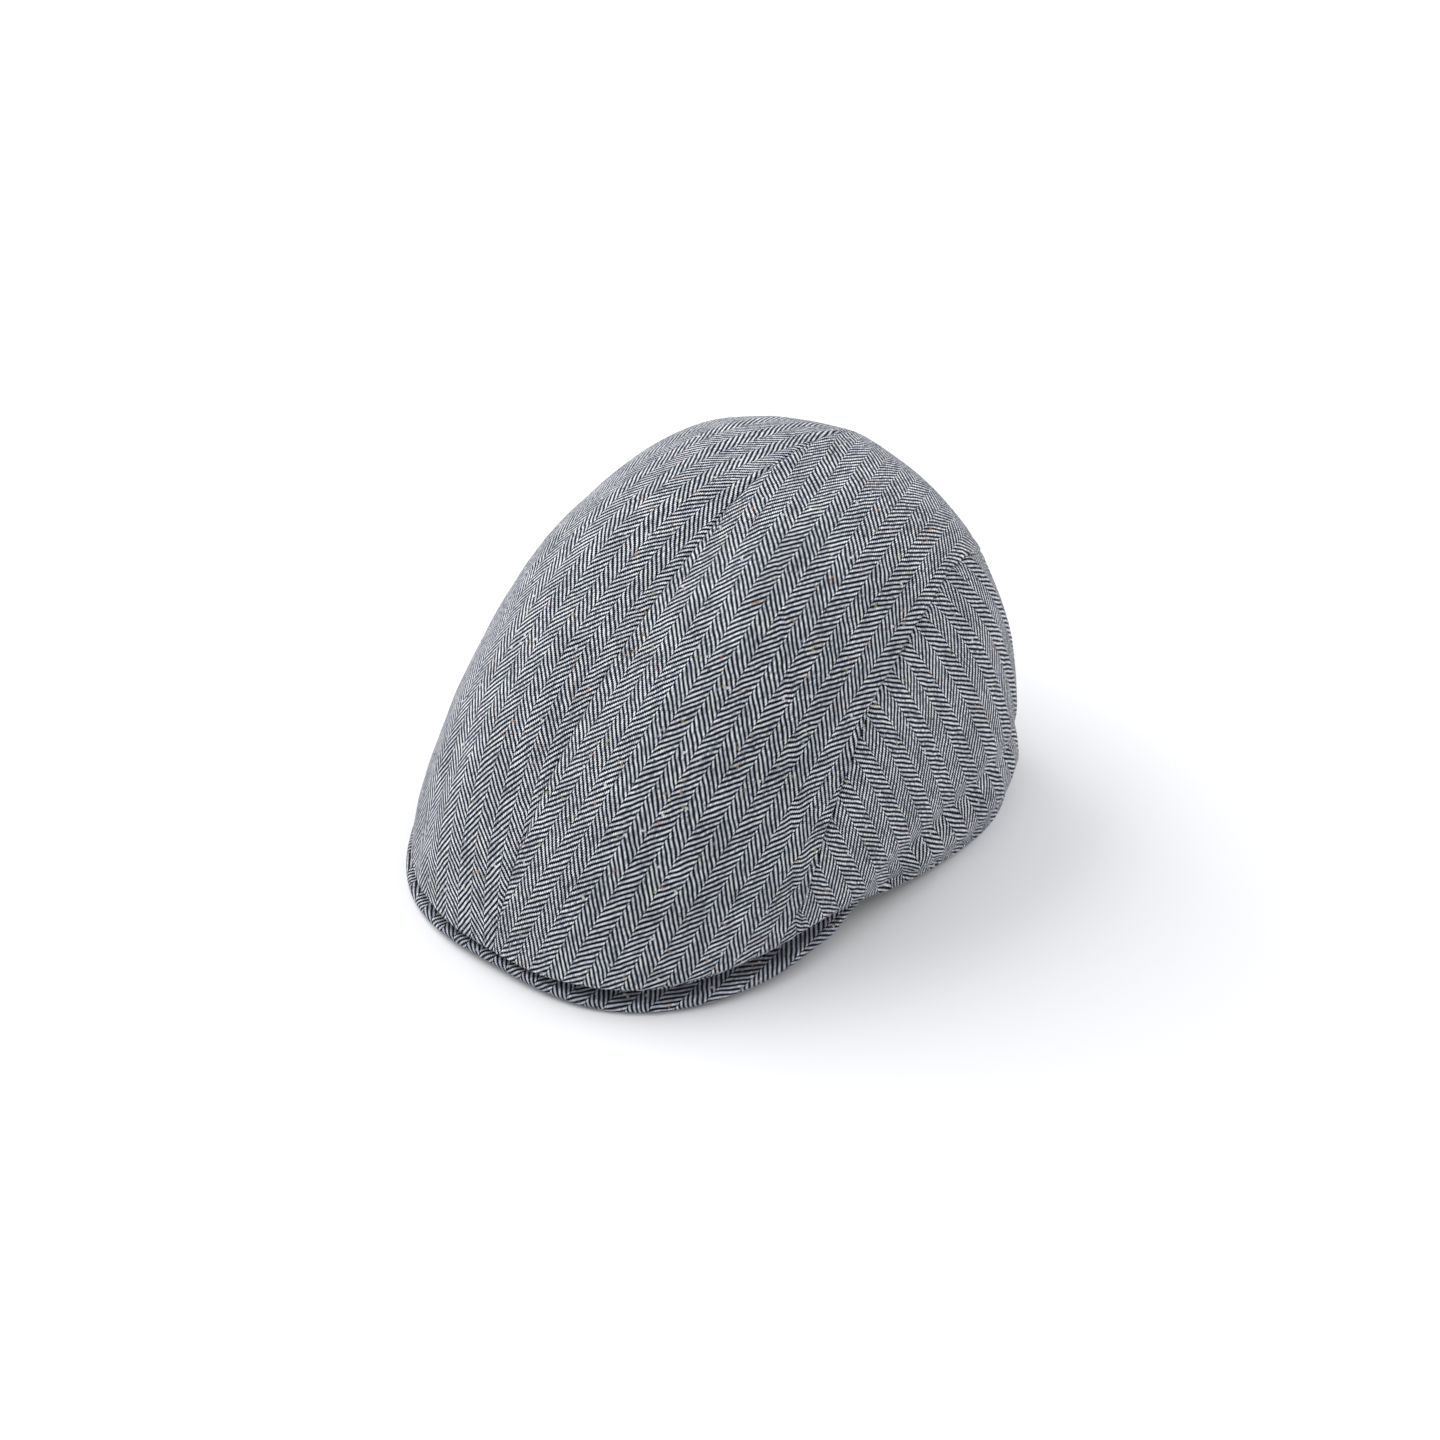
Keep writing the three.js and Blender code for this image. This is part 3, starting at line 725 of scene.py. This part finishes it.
def cloth_object(name, points, faces, uv, material):
    """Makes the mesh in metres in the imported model's frame, with its flat pattern as the UV map Pattern."""
    used, packed = np.unique(np.concatenate([np.array(f) for f in faces]), return_inverse=True)
    where = np.zeros(len(points), int)
    where[used] = np.arange(len(used))
    mesh = bpy.data.meshes.new(name)
    mesh.from_pydata(((points[used] + AXIS) / 1000).tolist(), [], [tuple(int(where[v]) for v in f) for f in faces])
    layer = mesh.uv_layers.new(name="Pattern")
    layer.data.foreach_set("uv", uv[used][packed].astype(np.float32).ravel())
    mesh.materials.append(material)
    mesh.shade_smooth()
    mesh.set_sharp_from_angle(angle=math.radians(50))
    made = bpy.data.objects.new(name, mesh)
    bpy.context.scene.collection.objects.link(made)
    print(name, len(mesh.polygons), "faces")
    return made


# %% Shape one crown panel
INNER_GAP = 0.005       # half the gap of the centre seam at the inner faces, in millimetres


def crown_panel(kind, side, name, uv, uv_shift):
    turns, upper, lower = panel_grid(kind, 1)
    downs = np.concatenate([upper, lower], axis=1)
    turn = np.broadcast_to(turns[:, None], downs.shape)
    end = np.broadcast_to(seam_down(turns)[:, None], downs.shape)
    base = outside(side * turn, downs)
    mirrored = base * np.array([side, 1, 1])
    relief = seam_relief(kind, turn, downs, mirrored, end) + soft_waves(turn, downs, mirrored)
    relief = relief * (1 - ease(1.5, 1.95, downs))  # the edge itself stays where the solid has it
    tuck = polar(side * turn, -undercut(turn, downs), np.zeros_like(downs))
    outer = base + outward(side * turn, downs) * relief[..., None] + tuck
    inner = inside(side * turn, downs, base) + tuck
    # The inner faces nearly meet at the centre seam, so that no light shows through it
    for face, gap in ((outer, SEAM_GAP / 2), (inner, INNER_GAP)):
        face[..., 0] = side * np.maximum(side * face[..., 0], gap)
        face[..., 2] = np.maximum(face[..., 2], -AXIS[2])
    faces = panel_faces(kind, len(turns), upper.shape[1], lower.shape[1], FRONT + 1)
    if side < 0:
        faces = [f[::-1] for f in faces]
    flat = uv.reshape(-1, 2) * np.array([side, 1]) + np.array(uv_shift)
    return cloth_object(name, *closed_cloth(outer.reshape(-1, 3), inner.reshape(-1, 3), faces, flat), crown_tweed)


# %% Sew the four crown panels
PANELS = (              # kind, side, name, and which part of the bolt of cloth the panel is cut from, in metres
    ("top", 1, "top_left", (0.0, 0.0)),
    ("top", -1, "top_right", (0.0, 0.0)),
    ("side", 1, "side_left", (0.41, 0.13)),
    ("side", -1, "side_right", (0.63, 0.27)),
)
pieces = {}
patterns = {kind: pattern(kind) for kind in ("top", "side")}
for kind, side, name, shift in PANELS:
    pieces["cloth_" + name] = crown_panel(kind, side, "cloth_" + name, patterns[kind], shift)
    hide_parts("crown_" + name)

# %% [markdown]
# ## The peak
# A peak is a stiff board with the same cloth drawn tightly over it and round its edge. Its form is lofted:
# one cross-section after another, each a loop along the top, round the edge and back underneath. The weave
# runs from front to back all over it, so the flat pattern is simply the view from above, carried on round
# the edge by the length of the turn.

# %% One cross-section of the peak
TOP_ROWS, EDGE_ROWS, PEAK_COLUMNS = 30, 11, 241
END_TURN, END_INWARD, END_THINNER = 52, 2.6, 0.55   # from this turn on the ends draw in and run out thin


def peak_section(turn):
    """A loop of points along the top, round the edge and back underneath, and how far along it each lies."""
    closed = ease(END_TURN, PEAK_TURN, abs(turn))   # the sewn-in ends are hidden under the lip
    inner, outer, half = peak_inner(turn), peak_outer(turn) - END_INWARD * closed, peak_thickness(turn) / 2
    thick = peak_thickness(turn) * (1 - END_THINNER * closed)
    middle = outer - half                           # where the flat top ends and the round edge starts
    radii = np.linspace(inner, middle, TOP_ROWS)
    angles = np.linspace(90, -90, EDGE_ROWS + 2)[1:-1]
    centre = peak_top(turn, middle) - thick / 2
    top = polar(turn, radii, peak_top(turn, radii))
    edge = polar(turn, middle + half * np.cos(np.radians(angles)), centre + thick / 2 * np.sin(np.radians(angles)))
    under = polar(turn, radii[::-1], peak_top(turn, radii[::-1]) - thick)
    reach = np.concatenate([radii, middle + half * np.radians(90 - angles),
                            middle + half * math.pi + (middle - radii[::-1])])
    return np.concatenate([top, edge, under]), reach


def peak_faces(columns, count):
    """Quads between each section and the next, and strips that close the two ends."""
    number = np.arange(columns * count).reshape(columns, count)
    faces = []
    for i in range(columns - 1):
        for j in range(count):
            k = (j + 1) % count
            faces.append((number[i, j], number[i, k], number[i + 1, k], number[i + 1, j]))
    for i, flip in ((0, False), (columns - 1, True)):
        for j in range((count - 1) // 2):
            quad = [number[i, j], number[i, count - 1 - j], number[i, count - 2 - j], number[i, j + 1]]
            quad = [v for k, v in enumerate(quad) if v != quad[k - 1]]
            faces.append(tuple(quad[::-1] if flip else quad))
    return [tuple(int(v) for v in f) for f in faces]


# %% Cover the peak in cloth
def covered_peak():
    turns = np.linspace(-PEAK_TURN, PEAK_TURN, PEAK_COLUMNS)
    sections = [peak_section(t) for t in turns]
    points = np.array([s[0] for s in sections])
    reach = np.array([s[1] for s in sections])
    a = np.radians(turns)[:, None]
    flat = np.stack([reach * np.sin(a), -reach * np.cos(a)], -1) / 1000
    count = points.shape[1]
    made = cloth_object("cloth_peak", points.reshape(-1, 3), peak_faces(len(turns), count),
                        flat.reshape(-1, 2) + np.array([0.9, 0.5]), shaded_peak_tweed)
    # Painted shade under the lip: the attribute is 1 on the top where the lip covers it, and 0 from just outside the
    # lip's line
    past_lip = np.hypot(points[..., 0], points[..., 1]) - plan_radius(turns)[:, None]
    on_top = np.arange(count)[None, :] < TOP_ROWS
    lip_shade_share = (1 - ease(-1.2, 0.9, past_lip)) * on_top
    made.data.attributes.new("PaintedLipShade", "FLOAT", "POINT").data.foreach_set("value", lip_shade_share.astype(np.float32).ravel())
    return made


pieces["cloth_peak"] = covered_peak()
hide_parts("peak")

# %% [markdown]
# ## Nubs of coloured wool
# Tweed yarn is spun with small clots of dyed wool, and some stand out of the cloth. Geometry Nodes suit
# them: they scatter points over a panel, put one small flattened clot on each, turn it to the cloth and
# give it a size by chance. The result is turned into a plain mesh, one for each colour.

# %% Material of the nubs
def nub_material(name, colour):
    """Unspun wool: matt and tangled, with painted shade that makes it half as bright in its hollows."""
    material, tree = new_material(name)
    place = node(tree, "ShaderNodeTexCoord").outputs["Object"]
    noise = node(tree, "ShaderNodeTexNoise", {"Vector": place, "Scale": 2600.0, "Detail": 2.0})
    ramp = node(tree, "ShaderNodeValToRGB", {0: noise.outputs["Fac"]})
    base = linear(colour)
    ramp.color_ramp.elements[0].color = [v * 0.55 for v in base[:3]] + [1]
    ramp.color_ramp.elements[1].color = base
    bump = node(tree, "ShaderNodeBump", {"Strength": 0.6, "Distance": 0.0002, "Height": noise.outputs["Fac"]})
    shader = node(tree, "ShaderNodeBsdfPrincipled", {
        "Base Color": ramp.outputs[0], "Roughness": 0.9, "Normal": bump.outputs[0],
        "Sheen Weight": 0.3, "Sheen Roughness": 0.5})
    node(tree, "ShaderNodeOutputMaterial", {0: shader.outputs[0]})
    return material


# %% Geometry Nodes that scatter a small shape over a mesh
def scatter_tree(name, shape, turn_range, size_range):
    """Inputs: Density, Size, Seed and Material. The ranges are the chance turn and the chance size."""
    tree = bpy.data.node_groups.new(name, "GeometryNodeTree")
    for label, kind in (("Geometry", "NodeSocketGeometry"), ("Density", "NodeSocketFloat"),
                        ("Size", "NodeSocketFloat"), ("Seed", "NodeSocketInt"), ("Material", "NodeSocketMaterial")):
        tree.interface.new_socket(label, in_out="INPUT", socket_type=kind)
    tree.interface.new_socket("Geometry", in_out="OUTPUT", socket_type="NodeSocketGeometry")
    given = tree.nodes.new("NodeGroupInput").outputs
    scatter = node(tree, "GeometryNodeDistributePointsOnFaces", {
        "Mesh": given["Geometry"], "Density": given["Density"], "Seed": given["Seed"]})
    turn, size = (node(tree, "FunctionNodeRandomValue", {"Min": low, "Max": high, "Seed": given["Seed"]},
                       data_type="FLOAT_VECTOR") for low, high in (turn_range, size_range))
    turned = node(tree, "FunctionNodeRotateRotation", {0: scatter.outputs["Rotation"], 1: turn.outputs[0]},
                  rotation_space="LOCAL")
    placed = node(tree, "GeometryNodeInstanceOnPoints", {
        "Points": scatter.outputs["Points"], "Instance": shape(tree, given["Size"]).outputs["Mesh"],
        "Rotation": turned.outputs[0], "Scale": size.outputs[0]})
    real = node(tree, "GeometryNodeRealizeInstances", {0: placed.outputs[0]})
    finished = node(tree, "GeometryNodeSetMaterial", {"Geometry": real.outputs[0], "Material": given["Material"]})
    out = tree.nodes.new("NodeGroupOutput")
    tree.links.new(finished.outputs[0], out.inputs[0])
    return tree


def scattered(name, tree, skin, density, size, seed, material):
    """A plain mesh of what the tree scatters over the skin."""
    modifier = skin.modifiers.new(name, "NODES")
    modifier.node_group = tree
    sockets = {item.name: item.identifier for item in tree.interface.items_tree if item.in_out == "INPUT"}
    for label, value in (("Density", density), ("Size", size), ("Seed", seed), ("Material", material)):
        modifier[sockets[label]] = value
    mesh = bpy.data.meshes.new_from_object(skin.evaluated_get(bpy.context.evaluated_depsgraph_get()))
    skin.modifiers.remove(modifier)
    mesh.shade_smooth()
    made = bpy.data.objects.new(name, mesh)
    bpy.context.scene.collection.objects.link(made)
    print(name, len(mesh.polygons), "faces")
    return made


# %% The cloth's outward faces
def outer_skin(names):
    """A throwaway mesh of the pieces' outward faces above the floor, which is what things are scattered over."""
    skin = bmesh.new()
    for name in names:
        skin.from_mesh(pieces[name].data)
    heart = Vector((0, AXIS[1] / 1000, 0.045))      # a point inside the crown, in metres
    inward = [f for f in skin.faces if f.normal.dot(f.calc_center_median() - heart) < 0.004
              or f.calc_center_median().z < 0.003]
    bmesh.ops.delete(skin, geom=inward, context="FACES")
    mesh = bpy.data.meshes.new("outer_skin")
    skin.to_mesh(mesh)
    skin.free()
    made = bpy.data.objects.new("outer_skin", mesh)
    bpy.context.scene.collection.objects.link(made)
    return made


skin = outer_skin(list(pieces))
print("outward faces:", len(skin.data.polygons))

# %% Scatter nubs
NUB_RADIUS = 0.00042    # metres
NUBS = (                # name, colour, and how many on a square metre
    ("nubs_rust", "#A66E4B", 220.0),
    ("nubs_olive", "#7F7650", 800.0),
    ("nubs_cream", "#C9C4B2", 420.0),
    ("nubs_dark", "#14161C", 1300.0),
)


def clot(tree, size):
    return node(tree, "GeometryNodeMeshIcoSphere", {"Radius": size, "Subdivisions": 2})


nubs = scatter_tree("wool nubs", clot, ((0, 0, -0.6), (0, 0, 0.6)), ((0.5, 0.8, 0.22), (1.0, 2.1, 0.38)))
for seed, (name, colour, density) in enumerate(NUBS):
    pieces[name] = scattered(name, nubs, skin, density, NUB_RADIUS, 20 + seed, nub_material(name, colour))

# %% [markdown]
# ## The bloom of the wool
# Close to, wool cloth has a bloom: loose fibres about a millimetre long that stand off it. They show most
# along the outline. The same way of scattering puts a thin three-sided spike at each point and leans it over.

# %% Scatter loose fibres
FIBRE_LENGTH, FIBRE_RADIUS = 0.0011, 0.00005        # metres; real fibres are thinner and wouldn't show
FIBRE_DENSITY = 190000.0                            # on a square metre


def spike(tree, size):
    return node(tree, "GeometryNodeMeshCone", {
        "Vertices": 3, "Side Segments": 1, "Radius Top": 0.0, "Radius Bottom": FIBRE_RADIUS, "Depth": size},
        fill_type="NONE")


bloom = scatter_tree("wool bloom", spike, ((-1.1, -1.1, -3.1), (1.1, 1.1, 3.1)), ((1, 1, 0.35), (1, 1, 1.0)))
pieces["loose_fibres"] = scattered("loose_fibres", bloom, skin, FIBRE_DENSITY, FIBRE_LENGTH, 5,
                                   nub_material("wool_fibre", "#D9DBE0"))
bpy.data.objects.remove(skin)

# %% [markdown]
# ## Everything rides on one body
# Cloth has no joints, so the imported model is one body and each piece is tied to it.

# %% Tie the pieces to the body
for piece in pieces.values():
    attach(piece, "root")
print("pieces on the body:", len(pieces))

# %% [markdown]
# ## Floor and light
# The photo was lit like a shop picture: soft light from above and from the left, and white all round. A very
# pale floor and a bright sky give that. One large lamp makes the left of the picture a little brighter, and a
# weaker one behind lifts the cap's far edge off the white.

# %% Floor
paper, paper_tree = new_material("matt_white_paper")
paper_place = node(paper_tree, "ShaderNodeTexCoord").outputs["Object"]
grain = node(paper_tree, "ShaderNodeTexNoise", {"Vector": paper_place, "Scale": 900.0})
paper_bump = node(paper_tree, "ShaderNodeBump", {
    "Strength": 0.05, "Distance": 0.0002, "Height": grain.outputs["Fac"]})
paper_shader = node(paper_tree, "ShaderNodeBsdfPrincipled", {
    "Base Color": linear("#F2F2F2"), "Roughness": 0.9, "Normal": paper_bump.outputs[0]})
node(paper_tree, "ShaderNodeOutputMaterial", {0: paper_shader.outputs[0]})
floor_mesh = bpy.data.meshes.new("floor")
floor_mesh.from_pydata([(-4, -4, 0), (4, -4, 0), (4, 4, 0), (-4, 4, 0)], [], [(0, 1, 2, 3)])
floor_mesh.materials.append(paper)
floor = bpy.data.objects.new("floor", floor_mesh)
bpy.context.scene.collection.objects.link(floor)

# %% Lamps and sky
world = bpy.data.worlds.new("bright_studio")
world.use_nodes = True
sky = world.node_tree.nodes["Background"]
sky.inputs["Color"].default_value = linear("#FAFBFF")
sky.inputs["Strength"].default_value = 0.79
bpy.context.scene.world = world


def add_lamp(name, place, aim, size, power):
    """A square lamp, size in metres and power in watts, that is turned to the place it is aimed at."""
    light = bpy.data.lights.new(name, "AREA")
    light.size, light.energy = size, power
    made = bpy.data.objects.new(name, light)
    made.location = place
    made.rotation_euler = (Vector(aim) - Vector(place)).to_track_quat("-Z", "Y").to_euler()
    bpy.context.scene.collection.objects.link(made)


add_lamp("softbox_left", (-1.15, -0.2, 1.05), (0, 0, 0.05), 1.5, 22.0)
add_lamp("rim_from_back", (0.6, 1.3, 0.7), (0, 0, 0.08), 1.0, 7.0)
bpy.context.scene.view_settings.view_transform = "Standard"
